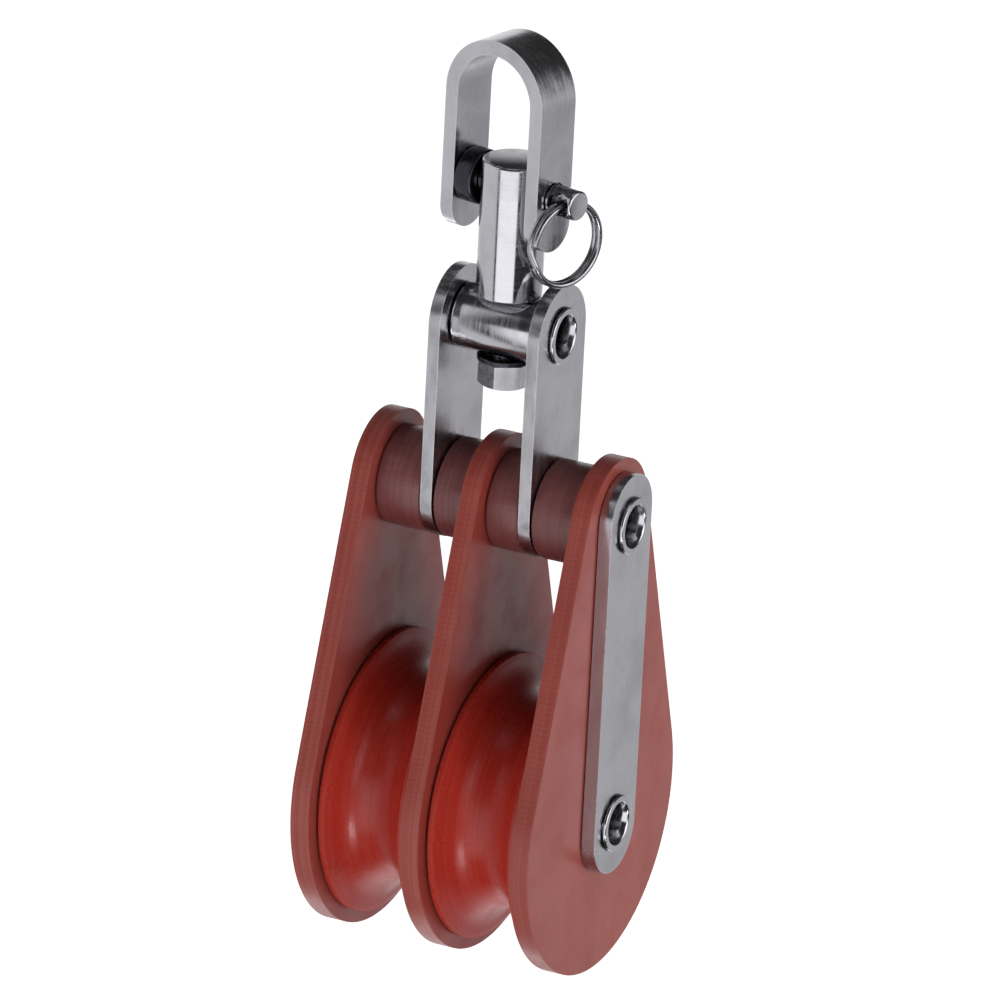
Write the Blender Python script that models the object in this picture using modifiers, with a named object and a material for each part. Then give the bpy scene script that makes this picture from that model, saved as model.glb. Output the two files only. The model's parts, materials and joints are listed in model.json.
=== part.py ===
"""Double sheave block with a swivelling fork head and a strip shackle.

Frame: X runs along the sheave axle and +X is the right-hand cheek, -Y is the front, +Z points up.
The origin is on the swivel's axis at the inside of the shackle's crown, where the block hangs.
Heights below are laid out from the sheave axle, and one empty moves the layout down to that origin.
Lengths are in metres.
"""

import math

import bmesh
import bpy
from mathutils import Matrix, Vector

MM = 0.001

# ---- driving dimensions ----
PITCH = 21.0 * MM              # from one cheek's middle to the next
CHEEK_THICKNESS = 3.5 * MM
CHEEK_TOP_RADIUS = 11.2 * MM
CHEEK_BOTTOM_RADIUS = 27.3 * MM
HEAD_HEIGHT = 54.2 * MM        # head pin above the sheave axle
SHEAVE_RADIUS = 25.0 * MM
SHEAVE_WIDTH = 16.7 * MM
GROOVE_RADIUS = 6.9 * MM
STRAP_WIDTH = 15.2 * MM
STRAP_THICKNESS = 2.4 * MM
STRAP_OVERRUN = 1.4 * MM       # a strap's end arcs are centred this far beyond its pins
SPACER_RADIUS = 8.7 * MM
LEG_OFFSET = 9.35 * MM         # middle of a fork leg from the middle plane
LEG_THICKNESS = 2.2 * MM
LEG_WIDTH = 17.6 * MM
BARREL_HEIGHT = 85.2 * MM
BARREL_RADIUS = 5.7 * MM
POST_RADIUS = 5.7 * MM
POST_TOP = 114.7 * MM
SHACKLE_PIN_HEIGHT = 109.8 * MM
SHACKLE_PIN_RADIUS = 2.6 * MM
PIN_HEAD_RADIUS = 3.6 * MM
SHACKLE_PIN_END = 14.0 * MM
SHACKLE_CENTRE = -1.8 * MM    # the bow's middle plane, moved left by the collar
SHACKLE_INSIDE = 15.6 * MM
SHACKLE_THICKNESS = 2.6 * MM
SHACKLE_WIDTH = 9.0 * MM
SHACKLE_TOP = 136.0 * MM
SHACKLE_TAIL = 5.0 * MM        # pin hole above the middle of the rounded leg ends
COLLAR_RADIUS = 4.8 * MM
BOLT_RADIUS = 2.5 * MM
BOLT_HEAD_FLATS = 8.0 * MM
BOLT_HEAD_HEIGHT = 4.2 * MM
BOLT_HEAD_TURN = math.radians(16)
RING_RADIUS = 7.2 * MM         # centre line of the split ring's wire
RING_DROP = 0.1 * MM           # the ring hangs this far below the middle of its hole
RING_WIRE = 0.55 * MM          # radius of the wire
RING_TWIST = math.radians(10)  # the ring's plane, turned about Z from square to the pin
RING_HOLE_X = 11.4 * MM
RING_HOLE_WAIST = 1.6 * MM     # radius in the middle of the pin, flared to the mouth on both sides
RING_HOLE_MOUTH = 2.4 * MM
SHACKLE_YAW = math.radians(12)  # rest turn of the swivel and shackle about Z, clockwise from above

# ---- shared details ----
GAP = 0.25 * MM                # between faces that rest on each other
CLEARANCE = 0.3 * MM           # between a round piece and its hole, on the radius
TUBE_RADIUS = 4.0 * MM         # shanks of the hollow pins and of the barrel's ends
TUBE_BORE = 3.2 * MM
LIP_RADIUS = 5.0 * MM
LIP_THICKNESS = 0.5 * MM
FLARE = 1.2 * MM               # depth of the flare at the mouth of a bore
BUSH_RADIUS = 6.0 * MM
DRILL_DEPTH = 5.0 * MM
SPOTFACE_DEPTH = 0.5 * MM
WASHER_THICKNESS = 0.8 * MM
WASHER_RADIUS = 4.9 * MM
EDGE = 0.45 * MM               # rounding along the edges of plates
MERGE = 0.00001
ACROSS = (math.pi / 2, 0, math.pi / 2)   # local X, Y, Z lie along world Y, Z, X
FRONTAL = (math.pi / 2, 0, 0)            # local X, Y, Z lie along world X, Z, -Y

HALF_CHEEK = CHEEK_THICKNESS / 2
STACK_LEFT = PITCH + HALF_CHEEK + GAP    # undersides of the hollow pins' lips, left and right
STACK_RIGHT = STACK_LEFT + STRAP_THICKNESS + GAP
LEG_OUTSIDE = LEG_OFFSET + LEG_THICKNESS / 2
LEG_INSIDE = LEG_OFFSET - LEG_THICKNESS / 2
HOLE_RADIUS = TUBE_RADIUS + CLEARANCE


def clear_scene():
    for obj in list(bpy.data.objects):
        bpy.data.objects.remove(obj)


def new_collection(name):
    collection = bpy.data.collections.new(name)
    bpy.context.scene.collection.children.link(collection)
    return collection


def material(name, colour, roughness, metallic):
    mat = bpy.data.materials.new(name)
    mat.use_nodes = True
    shader = mat.node_tree.nodes["Principled BSDF"]
    shader.inputs["Base Color"].default_value = (*colour, 1)
    shader.inputs["Roughness"].default_value = roughness
    shader.inputs["Metallic"].default_value = metallic
    return mat


def laminate(name):
    """Red-brown fabric-reinforced phenolic sheet."""
    return material(name, (0.30, 0.055, 0.035), 0.42, 0.0)


def turned_laminate(name):
    """The same laminate on a turned face, a little darker and smoother."""
    return material(name, (0.24, 0.040, 0.030), 0.35, 0.0)


def stainless(name):
    """Polished stainless steel."""
    return material(name, (0.58, 0.57, 0.60), 0.22, 1.0)


def blackened_steel(name):
    """Steel with a black oxide finish."""
    return material(name, (0.045, 0.045, 0.055), 0.30, 1.0)


def bronze(name):
    """Plain bearing bronze."""
    return material(name, (0.55, 0.36, 0.17), 0.35, 1.0)


def arc(centre, radius, start, end, steps):
    """Points on an arc in a plane, angles in radians, both ends included."""
    turns = [start + (end - start) * i / steps for i in range(steps + 1)]
    return [(centre[0] + radius * math.cos(a), centre[1] + radius * math.sin(a)) for a in turns]


def circle(centre, radius, steps):
    return arc(centre, radius, 0, 2 * math.pi, steps)[:-1]


def stadium(radius, low, high, steps):
    """Outline of a strap with half-round ends centred at (0, low) and (0, high)."""
    top = arc((0, high), radius, 0, math.pi, steps)
    return top + arc((0, low), radius, math.pi, 2 * math.pi, steps)


def teardrop(top_radius, bottom_radius, height, top_steps, bottom_steps):
    """Outline of a cheek hanging from (0, 0): two arcs joined by their common tangents."""
    lean = math.asin((bottom_radius - top_radius) / height)
    top = arc((0, 0), top_radius, lean, math.pi - lean, top_steps)
    return top + arc((0, -height), bottom_radius, math.pi - lean, 2 * math.pi + lean, bottom_steps)


def finish_piece(obj, mat, collection):
    obj.data.materials.clear()
    obj.data.materials.append(mat)
    collection.objects.link(obj)
    return obj


def smooth(obj, angle=35):
    obj.data.shade_smooth()
    obj.data.set_sharp_from_angle(angle=math.radians(angle))


def curve_to_mesh(curve_obj, name):
    """Mesh copy of a curve object, with its caps welded on. The curve is removed."""
    bpy.context.scene.collection.objects.link(curve_obj)
    bpy.context.view_layer.update()
    evaluated = curve_obj.evaluated_get(bpy.context.evaluated_depsgraph_get())
    mesh = bpy.data.meshes.new_from_object(evaluated)
    work = bmesh.new()
    work.from_mesh(mesh)
    bmesh.ops.remove_doubles(work, verts=work.verts, dist=MERGE)
    work.to_mesh(mesh)
    work.free()
    obj = bpy.data.objects.new(name, mesh)
    obj.matrix_world = curve_obj.matrix_world
    bpy.data.objects.remove(curve_obj)
    return obj


def flat_plate(name, outlines, thickness, location, rotation):
    """A plate cut from sheet: the first outline is its edge and the others are its holes."""
    curve = bpy.data.curves.new(name, "CURVE")
    curve.dimensions = "2D"
    curve.fill_mode = "BOTH"
    curve.extrude = thickness / 2
    for points in outlines:
        spline = curve.splines.new("POLY")
        spline.points.add(len(points) - 1)
        for point, (x, y) in zip(spline.points, points):
            point.co = (x, y, 0, 1)
        spline.use_cyclic_u = True
    curve_obj = bpy.data.objects.new(name + "_outline", curve)
    curve_obj.location = location
    curve_obj.rotation_euler = rotation
    return curve_to_mesh(curve_obj, name)


def round_edges(obj, width, segments=1):
    bevel = obj.modifiers.new("edges", "BEVEL")
    bevel.width = width
    bevel.segments = segments
    bevel.limit_method = "ANGLE"
    bevel.angle_limit = math.radians(60)


def turned(name, profile, location, rotation, steps, closed=True):
    """A lathe-turned piece about its local Z. The profile is (radius, height), down the outer side."""
    mesh = bpy.data.meshes.new(name)
    count = len(profile)
    edges = [(i, i + 1) for i in range(count - 1)]
    if closed:
        edges.append((count - 1, 0))
    mesh.from_pydata([(radius, 0, height) for radius, height in profile], edges, [])
    obj = bpy.data.objects.new(name, mesh)
    obj.location = location
    obj.rotation_euler = rotation
    screw = obj.modifiers.new("turning", "SCREW")
    screw.axis = "Z"
    screw.angle = 2 * math.pi
    screw.steps = steps
    screw.render_steps = steps
    screw.use_merge_vertices = True
    screw.merge_threshold = MERGE
    screw.use_smooth_shade = True
    return obj


def ring_profile(outer, inner, low, high, chamfer):
    """Section of a plain tube with chamfered outer corners."""
    return [
        (inner, high), (outer - chamfer, high), (outer, high - chamfer),
        (outer, low + chamfer), (outer - chamfer, low), (inner, low),
    ]


def cutter(obj, cutters):
    obj.hide_render = True
    obj.display_type = "WIRE"
    cutters.objects.link(obj)
    return obj


def rod_cutter(name, radius, length, location, rotation, cutters, steps=24):
    profile = [(0, length / 2), (radius, length / 2), (radius, -length / 2), (0, -length / 2)]
    return cutter(turned(name, profile, location, rotation, steps, closed=False), cutters)


def combine(obj, other, operation):
    boolean = obj.modifiers.new(other.name, "BOOLEAN")
    boolean.object = other
    boolean.operation = operation
    boolean.solver = "EXACT"


# ---- shell: cheeks, strap, spacers and the two hollow pins ----

def pin_holes(steps=16):
    return [circle((0, z), HOLE_RADIUS, steps) for z in (0, -HEAD_HEIGHT)]


def make_cheek(name, x, parent, collection):
    outline = teardrop(CHEEK_TOP_RADIUS, CHEEK_BOTTOM_RADIUS, HEAD_HEIGHT, 12, 32)
    cheek = flat_plate(name, [outline, *pin_holes()], CHEEK_THICKNESS, (x, 0, 0), ACROSS)
    cheek.parent = parent
    round_edges(cheek, EDGE)
    return finish_piece(cheek, laminate(name), collection)


def make_strap(name, parent, collection):
    """The strap lies on the outside of the right cheek. The left cheek has none."""
    outline = stadium(STRAP_WIDTH / 2, -HEAD_HEIGHT - STRAP_OVERRUN, STRAP_OVERRUN, 12)
    x = PITCH + HALF_CHEEK + GAP + STRAP_THICKNESS / 2
    strap = flat_plate(name, [outline, *pin_holes()], STRAP_THICKNESS, (x, 0, 0), ACROSS)
    strap.parent = parent
    round_edges(strap, EDGE / 2)
    return finish_piece(strap, stainless(name), collection)


def lip_half(tip):
    """One flared end of a hollow pin, from the bore out over the lip to the shank, up to height tip."""
    under = tip - LIP_THICKNESS
    return [
        (TUBE_BORE, tip - FLARE),
        (TUBE_BORE + 0.5 * FLARE, tip),
        (LIP_RADIUS - 0.4 * MM, tip),
        (LIP_RADIUS, tip - 0.4 * LIP_THICKNESS),
        (LIP_RADIUS, under),
        (TUBE_RADIUS, under),
    ]


def mirrored(profile):
    return [(radius, -height) for radius, height in reversed(profile)]


def make_hollow_pin(name, z, parent, collection):
    right = lip_half(STACK_RIGHT + LIP_THICKNESS)
    left = lip_half(STACK_LEFT + LIP_THICKNESS)
    pin = turned(name, right + mirrored(left), (0, 0, z), ACROSS, 24)
    pin.parent = parent
    return finish_piece(pin, stainless(name), collection)


def make_head_spacer(name, side, near, far, parent, collection):
    """Round laminate distance piece on the head pin, from near to far along X."""
    half = (far - near) / 2
    profile = ring_profile(SPACER_RADIUS, HOLE_RADIUS, -half, half, 0.3 * MM)
    spacer = turned(name, profile, (side * (near + far) / 2, 0, 0), ACROSS, 28)
    spacer.parent = parent
    return finish_piece(spacer, turned_laminate(name), collection)


# ---- sheaves ----

def sheave_profile():
    half = SHEAVE_WIDTH / 2
    bore = BUSH_RADIUS + CLEARANCE
    rim = SHEAVE_RADIUS
    chamfer = 0.5 * MM
    groove = arc((rim, 0), GROOVE_RADIUS, math.pi / 2 + 0.12, 1.5 * math.pi - 0.12, 8)
    upper = [(bore, half), (rim - chamfer, half), (rim, half - chamfer), (rim, GROOVE_RADIUS + 0.25 * MM)]
    return upper + groove + mirrored(upper)


def make_sheave(name, x, parent, collection):
    sheave = turned(name, sheave_profile(), (x, 0, 0), ACROSS, 40)
    sheave.parent = parent
    return finish_piece(sheave, turned_laminate(name), collection)


def make_bush(name, x, parent, collection):
    half = SHEAVE_WIDTH / 2 + 0.1 * MM
    profile = [(HOLE_RADIUS, half), (BUSH_RADIUS, half), (BUSH_RADIUS, -half), (HOLE_RADIUS, -half)]
    bush = turned(name, profile, (x, 0, 0), ACROSS, 24)
    bush.parent = parent
    return finish_piece(bush, bronze(name), collection)


# ---- fork: two legs riveted to the barrel's hollow ends ----

def make_fork_leg(name, side, parent, collection):
    reach = BARREL_HEIGHT - HEAD_HEIGHT
    outline = stadium(LEG_WIDTH / 2, 0, reach, 12)
    holes = [circle((0, z), HOLE_RADIUS, 16) for z in (0, reach)]
    leg = flat_plate(name, [outline, *holes], LEG_THICKNESS, (side * LEG_OFFSET, 0, 0), ACROSS)
    leg.parent = parent
    round_edges(leg, EDGE)
    return finish_piece(leg, stainless(name), collection)


def make_barrel(name, parent, collection, cutters):
    """Round bar between the legs. Its ends are turned down, drilled and flared over the legs."""
    shoulder = LEG_INSIDE - GAP
    chamfer = 0.3 * MM
    tip = LEG_OUTSIDE + GAP + LIP_THICKNESS
    half = [(0, tip - DRILL_DEPTH), (TUBE_BORE, tip - DRILL_DEPTH + 0.6 * MM), *lip_half(tip)]
    half += [
        (TUBE_RADIUS, shoulder), (BARREL_RADIUS - chamfer, shoulder), (BARREL_RADIUS, shoulder - chamfer),
    ]
    height = BARREL_HEIGHT - HEAD_HEIGHT
    barrel = turned(name, half + mirrored(half), (0, 0, height), ACROSS, 28, closed=False)
    barrel.parent = parent
    deep = 4 * MM
    top = height + BARREL_RADIUS - SPOTFACE_DEPTH + deep / 2
    bottom = height - BARREL_RADIUS + SPOTFACE_DEPTH - deep / 2
    seat = WASHER_RADIUS + 0.5 * MM
    tools = [
        rod_cutter("cut_post_seat", POST_RADIUS + 0.4 * MM, deep, (0, 0, top), (0, 0, 0), cutters, 28),
        rod_cutter("cut_washer_seat", seat, deep, (0, 0, bottom), (0, 0, 0), cutters, 28),
        rod_cutter("cut_bolt_bore", BOLT_RADIUS + CLEARANCE, 16 * MM, (0, 0, height), (0, 0, 0), cutters),
    ]
    for tool in tools:
        tool.parent = parent
        combine(barrel, tool, "DIFFERENCE")
    return finish_piece(barrel, stainless(name), collection)


# ---- swivel: post, bolt and washer ----

def make_post(name, parent, collection, cutters):
    seat = BARREL_HEIGHT + BARREL_RADIUS - SPOTFACE_DEPTH + GAP
    socket = BOLT_RADIUS + CLEARANCE
    profile = [
        (0, POST_TOP), (POST_RADIUS - 0.5 * MM, POST_TOP), (POST_RADIUS, POST_TOP - 0.5 * MM),
        (POST_RADIUS, seat + 0.3 * MM), (POST_RADIUS - 0.3 * MM, seat),
        (socket, seat), (socket, seat + 9 * MM), (0, seat + 9 * MM + socket),
    ]
    local = [(radius, height - SHACKLE_PIN_HEIGHT) for radius, height in profile]
    post = turned(name, local, (0, 0, 0), (0, 0, 0), 32, closed=False)
    post.parent = parent
    hole = rod_cutter("cut_post_eye", SHACKLE_PIN_RADIUS + CLEARANCE, 16 * MM, (0, 0, 0), ACROSS, cutters)
    hole.parent = parent
    combine(post, hole, "DIFFERENCE")
    return finish_piece(post, stainless(name), collection)


def bolt_head_mesh(name, middle):
    """Hexagonal prism, centred at the given height."""
    corner = BOLT_HEAD_FLATS / math.sqrt(3)
    work = bmesh.new()
    bmesh.ops.create_cone(
        work, cap_ends=True, segments=6, radius1=corner, radius2=corner, depth=BOLT_HEAD_HEIGHT
    )
    bmesh.ops.rotate(work, verts=work.verts, matrix=Matrix.Rotation(BOLT_HEAD_TURN, 3, "Z"))
    bmesh.ops.translate(work, verts=work.verts, vec=Vector((0, 0, middle)))
    mesh = bpy.data.meshes.new(name)
    work.to_mesh(mesh)
    work.free()
    return mesh


def make_swivel_bolt(name, parent, collection, cutters):
    """Hexagon-headed bolt, up through the barrel into the post."""
    head_top = BARREL_HEIGHT - BARREL_RADIUS + SPOTFACE_DEPTH - 2 * GAP - WASHER_THICKNESS
    low = head_top - BOLT_HEAD_HEIGHT
    shank_top = BARREL_HEIGHT + BARREL_RADIUS + 7.5 * MM
    bolt = bpy.data.objects.new(name, bolt_head_mesh(name, (low + head_top) / 2 - SHACKLE_PIN_HEIGHT))
    bolt.parent = parent
    round_edges(bolt, 0.2 * MM)
    bolt.modifiers["edges"].angle_limit = math.radians(70)
    sunk = low + 1 * MM
    shank = [
        (0, shank_top), (BOLT_RADIUS - 0.4 * MM, shank_top), (BOLT_RADIUS, shank_top - 0.4 * MM),
        (BOLT_RADIUS, sunk), (0, sunk),
    ]
    local = [(radius, height - SHACKLE_PIN_HEIGHT) for radius, height in shank]
    rod = cutter(turned("join_bolt_shank", local, (0, 0, 0), (0, 0, 0), 20, closed=False), cutters)
    rod.parent = parent
    combine(bolt, rod, "UNION")
    return finish_piece(bolt, stainless(name), collection)


def make_swivel_washer(name, parent, collection):
    top = BARREL_HEIGHT - BARREL_RADIUS + SPOTFACE_DEPTH - GAP - SHACKLE_PIN_HEIGHT
    bottom = top - WASHER_THICKNESS
    inner = BOLT_RADIUS + CLEARANCE
    profile = [(inner, top), (WASHER_RADIUS, top), (WASHER_RADIUS, bottom), (inner, bottom)]
    washer = turned(name, profile, (0, 0, 0), (0, 0, 0), 24)
    washer.parent = parent
    return finish_piece(washer, blackened_steel(name), collection)


# ---- shackle: bow, pin, collar and split ring ----

def bow_outline(steps):
    """The bent strip seen from the front: outer side up, over and down, then the inner side back."""
    inner = SHACKLE_INSIDE / 2
    outer = inner + SHACKLE_THICKNESS
    bend = SHACKLE_TOP - outer - SHACKLE_PIN_HEIGHT
    foot = -SHACKLE_TAIL - SHACKLE_WIDTH / 2 - 2 * MM
    over = [(outer, foot)] + arc((0, bend), outer, 0, math.pi, steps) + [(-outer, foot)]
    back = [(-inner, foot)] + arc((0, bend), inner, math.pi, 0, steps) + [(inner, foot)]
    return over + back


def make_bow(name, parent, collection, cutters):
    bow = flat_plate(name, [bow_outline(18)], SHACKLE_WIDTH, (SHACKLE_CENTRE, 0, 0), FRONTAL)
    above = SHACKLE_TOP - SHACKLE_PIN_HEIGHT + 4 * MM
    ends = stadium(SHACKLE_WIDTH / 2 + 0.001 * MM, -SHACKLE_TAIL, above, 14)
    template = cutter(flat_plate("keep_leg_ends", [ends], 40 * MM, (0, 0, 0), ACROSS), cutters)
    radius = SHACKLE_PIN_RADIUS + CLEARANCE
    eyes = rod_cutter("cut_bow_eyes", radius, 40 * MM, (0, 0, 0), ACROSS, cutters)
    for obj in (bow, template, eyes):
        obj.parent = parent
    combine(bow, template, "INTERSECT")
    combine(bow, eyes, "DIFFERENCE")
    round_edges(bow, EDGE)
    return finish_piece(bow, stainless(name), collection)


def make_shackle_pin(name, parent, collection, cutters):
    """Clevis pin: a low domed head on the left, and a cross hole near its right-hand end."""
    radius = SHACKLE_PIN_RADIUS
    head = SHACKLE_CENTRE - SHACKLE_INSIDE / 2 - SHACKLE_THICKNESS - GAP
    turns = [0.5 * math.pi * i / 4 for i in range(5)]
    dome = [(PIN_HEAD_RADIUS * math.cos(a), head - 0.4 * MM - 0.6 * MM * math.sin(a)) for a in turns[:-1]]
    tip = SHACKLE_PIN_END
    profile = [
        (0, tip), (radius - 0.4 * MM, tip), (radius, tip - 0.4 * MM),
        (radius, head), (PIN_HEAD_RADIUS, head), *dome, (0, head - 1.0 * MM),
    ]
    pin = turned(name, profile, (0, 0, 0), ACROSS, 24, closed=False)
    pin.parent = parent
    reach = radius + 0.4 * MM
    flare = [
        (0, reach), (RING_HOLE_MOUTH, reach), (RING_HOLE_WAIST, 0), (RING_HOLE_MOUTH, -reach), (0, -reach),
    ]
    hole = turned("cut_ring_hole", flare, (RING_HOLE_X, 0, 0), FRONTAL, 20, closed=False)
    hole.parent = parent
    combine(pin, cutter(hole, cutters), "DIFFERENCE")
    return finish_piece(pin, stainless(name), collection)


def make_pin_collar(name, parent, collection):
    inner_face = SHACKLE_CENTRE - SHACKLE_INSIDE / 2
    low = inner_face + GAP
    high = -POST_RADIUS - GAP
    half = (high - low) / 2
    profile = ring_profile(COLLAR_RADIUS, SHACKLE_PIN_RADIUS + CLEARANCE, -half, half, 0.2 * MM)
    collar = turned(name, profile, ((low + high) / 2, 0, 0), ACROSS, 24)
    collar.parent = parent
    return finish_piece(collar, blackened_steel(name), collection)


def ring_centre_line(step_degrees):
    """Two turns of wire side by side. The wire crosses over in a short stretch where the coils end."""
    crossing = math.radians(28)
    start = math.radians(205)
    lay = 1.04 * RING_WIRE
    length = 4 * math.pi - crossing - math.radians(6)
    count = round(math.degrees(length) / step_degrees)
    points = []
    for i in range(count + 1):
        run = length * i / count
        share = min(1, max(0, (run - (2 * math.pi - crossing)) / crossing))
        ease = share * share * (3 - 2 * share)
        angle = start + run
        points.append((lay * (2 * ease - 1), RING_RADIUS * math.cos(angle), RING_RADIUS * math.sin(angle)))
    return points


def make_split_ring(name, parent, collection):
    """Hangs from the pin's cross hole: local X is the ring's own axis."""
    curve = bpy.data.curves.new(name, "CURVE")
    curve.dimensions = "3D"
    curve.bevel_depth = RING_WIRE
    curve.bevel_resolution = 2
    curve.use_fill_caps = True
    points = ring_centre_line(15)
    spline = curve.splines.new("POLY")
    spline.points.add(len(points) - 1)
    for point, (x, y, z) in zip(spline.points, points):
        point.co = (x, y, z - RING_RADIUS - RING_DROP, 1)
    ring = bpy.data.objects.new(name, curve)
    ring.parent = parent
    return finish_piece(ring, stainless(name), collection)


def pivot(name, location, parent, collection, rotation=(0, 0, 0)):
    """An empty on a joint's axis. Its location is in its parent's axes."""
    empty = bpy.data.objects.new(name, None)
    empty.location = location
    empty.rotation_euler = rotation
    empty.parent = parent
    empty.empty_display_size = 0.01
    collection.objects.link(empty)
    return empty


def make_block(parent, collection):
    """Everything that swings on the head pin, the sheaves included. The parent is on the head pin."""
    for name, x in (("cheek_left", -PITCH), ("cheek_middle", 0), ("cheek_right", PITCH)):
        make_cheek(name, x, parent, collection)
    make_hollow_pin("head_pin", 0, parent, collection)
    make_hollow_pin("sheave_axle", -HEAD_HEIGHT, parent, collection)
    make_strap("strap_right", parent, collection)
    near = HALF_CHEEK + GAP
    far = PITCH - HALF_CHEEK - GAP
    for hand, side in (("left", -1), ("right", 1)):
        make_head_spacer("head_spacer_inner_" + hand, side, near, LEG_INSIDE - GAP, parent, collection)
        make_head_spacer("head_spacer_outer_" + hand, side, LEG_OUTSIDE + GAP, far, parent, collection)
        axle = pivot("sheave_pivot_" + hand, (0, 0, -HEAD_HEIGHT), parent, collection)
        make_sheave("sheave_" + hand, side * PITCH / 2, axle, collection)
        make_bush("sheave_bush_" + hand, side * PITCH / 2, axle, collection)


def make_fork(parent, collection, cutters):
    """The parent is on the swivel's axis, at the head pin's height."""
    make_barrel("swivel_barrel", parent, collection, cutters)
    make_fork_leg("fork_leg_left", -1, parent, collection)
    make_fork_leg("fork_leg_right", 1, parent, collection)


def make_upper_group(eye, collection, cutters):
    """Shackle and swivel. The parent is at the shackle pin, with its X axis along the pin."""
    make_bow("shackle_bow", eye, collection, cutters)
    make_shackle_pin("shackle_pin", eye, collection, cutters)
    make_pin_collar("pin_collar", eye, collection)
    ring_eye = pivot("ring_pivot", (RING_HOLE_X, 0, 0), eye, collection, (0, 0, -RING_TWIST))
    make_split_ring("split_ring", ring_eye, collection)
    make_post("swivel_post", eye, collection, cutters)
    make_swivel_bolt("swivel_bolt", eye, collection, cutters)
    make_swivel_washer("swivel_washer", eye, collection)


def main():
    clear_scene()
    collection = new_collection("double_sheave_block")
    cutters = new_collection("cutters")
    crown = SHACKLE_TOP - SHACKLE_THICKNESS
    layout = pivot("layout", (0, 0, -crown), None, collection)
    turn = (0, 0, -SHACKLE_YAW)
    eye = pivot("shackle_pin_pivot", (0, 0, SHACKLE_PIN_HEIGHT), layout, collection, turn)
    make_upper_group(eye, collection, cutters)
    fork = pivot("fork_pivot", (0, 0, HEAD_HEIGHT), layout, collection)
    make_fork(fork, collection, cutters)
    block = pivot("block_pivot", (0, 0, HEAD_HEIGHT), layout, collection)
    make_block(block, collection)
    for obj in collection.objects:
        if obj.type == "MESH":
            smooth(obj)


main()
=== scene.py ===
"""Looks for the double sheave block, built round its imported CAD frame.

Every CAD node is stood for by a finer piece of the same size and place. Positions come from the
frame's boxes and joints. Lengths are in metres, +Z is up, X runs along the sheave axle.
"""

import json
import math

import bmesh
import bpy
from mathutils import Matrix, Vector


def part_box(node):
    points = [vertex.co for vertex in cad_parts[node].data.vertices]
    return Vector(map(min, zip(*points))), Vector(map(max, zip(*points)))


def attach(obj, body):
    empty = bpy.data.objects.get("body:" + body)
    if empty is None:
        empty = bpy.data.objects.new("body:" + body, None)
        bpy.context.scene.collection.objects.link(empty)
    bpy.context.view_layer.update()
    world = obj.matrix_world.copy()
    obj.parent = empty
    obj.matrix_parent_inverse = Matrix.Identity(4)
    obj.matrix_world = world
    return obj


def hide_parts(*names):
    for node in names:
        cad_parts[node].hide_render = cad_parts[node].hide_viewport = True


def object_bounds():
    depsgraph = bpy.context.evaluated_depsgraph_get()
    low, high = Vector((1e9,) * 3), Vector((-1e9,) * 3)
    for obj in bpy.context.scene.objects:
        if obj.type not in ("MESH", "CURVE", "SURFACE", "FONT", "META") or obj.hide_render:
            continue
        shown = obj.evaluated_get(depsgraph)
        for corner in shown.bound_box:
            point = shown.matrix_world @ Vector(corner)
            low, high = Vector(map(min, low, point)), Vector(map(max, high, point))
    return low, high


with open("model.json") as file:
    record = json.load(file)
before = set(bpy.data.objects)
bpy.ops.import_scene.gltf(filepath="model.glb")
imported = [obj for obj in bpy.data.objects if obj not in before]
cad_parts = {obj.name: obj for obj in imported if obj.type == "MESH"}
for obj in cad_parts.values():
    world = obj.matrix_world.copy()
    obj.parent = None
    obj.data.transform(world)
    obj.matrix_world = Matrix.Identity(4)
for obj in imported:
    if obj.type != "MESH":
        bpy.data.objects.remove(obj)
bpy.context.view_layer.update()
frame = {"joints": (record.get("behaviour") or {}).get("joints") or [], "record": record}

MM = 0.001

# ---- what the boxes don't say ----
HOLE_RADIUS = 4.3 * MM         # round the hollow pins
TUBE_RADIUS = 4.0 * MM
TUBE_BORE = 3.2 * MM
LIP_RADIUS = 5.0 * MM
LIP_THICKNESS = 0.5 * MM
FLARE = 1.2 * MM               # depth of the flare at the mouth of a bore
CHEEK_TOP_RADIUS = 11.2 * MM
GROOVE_RADIUS = 6.9 * MM
GROOVE_LAND = 0.25 * MM        # flat left on the rim beside the groove
BUSH_HOLE = 6.3 * MM           # in the sheave, round its bush
PIN_RADIUS = 2.6 * MM
PIN_HOLE = 2.9 * MM
PIN_HEAD_RADIUS = 3.6 * MM
PIN_HEAD_RIM = 0.4 * MM        # straight part of the pin's head, under its dome
PIN_HEAD_DOME = 0.6 * MM
BOLT_RADIUS = 2.5 * MM
BOLT_HOLE = 2.8 * MM
BOLT_HEAD_FLATS = 8.0 * MM
BOLT_HEAD_HEIGHT = 4.2 * MM
BOLT_HEAD_TURN = math.radians(16)
BOLT_HEAD_TRIM = 0.1 * MM      # the head's turned outline runs this far outside or inside the hexagon
BARREL_RADIUS = 5.7 * MM
BARREL_GAP = 0.25 * MM         # between the barrel's shoulder and a leg
SEAT_DEPTH = 0.5 * MM          # of the flats on the barrel
POST_SEAT_RADIUS = 6.1 * MM
WASHER_SEAT_RADIUS = 5.4 * MM
DRILL_DEPTH = 5.0 * MM
DRILL_POINT = 0.6 * MM         # height of the cone at the bottom of the drilling
SOCKET_DEPTH = 9.0 * MM        # of the bolt's hole in the post
BOW_WIDTH = 9.0 * MM
BOW_THICKNESS = 2.6 * MM
BOW_INSIDE = 15.6 * MM
BOW_CENTRE = -1.8 * MM
BOW_TAIL = 5.0 * MM
COLLAR_SPAN = (-9.35 * MM, -5.95 * MM)
PIN_HEAD_FACE = -12.45 * MM
PIN_TIP = 14.0 * MM
RING_RADIUS = 7.2 * MM
RING_WIRE = 0.55 * MM
RING_DROP = 0.1 * MM           # the ring hangs this far below the middle of its hole
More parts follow.
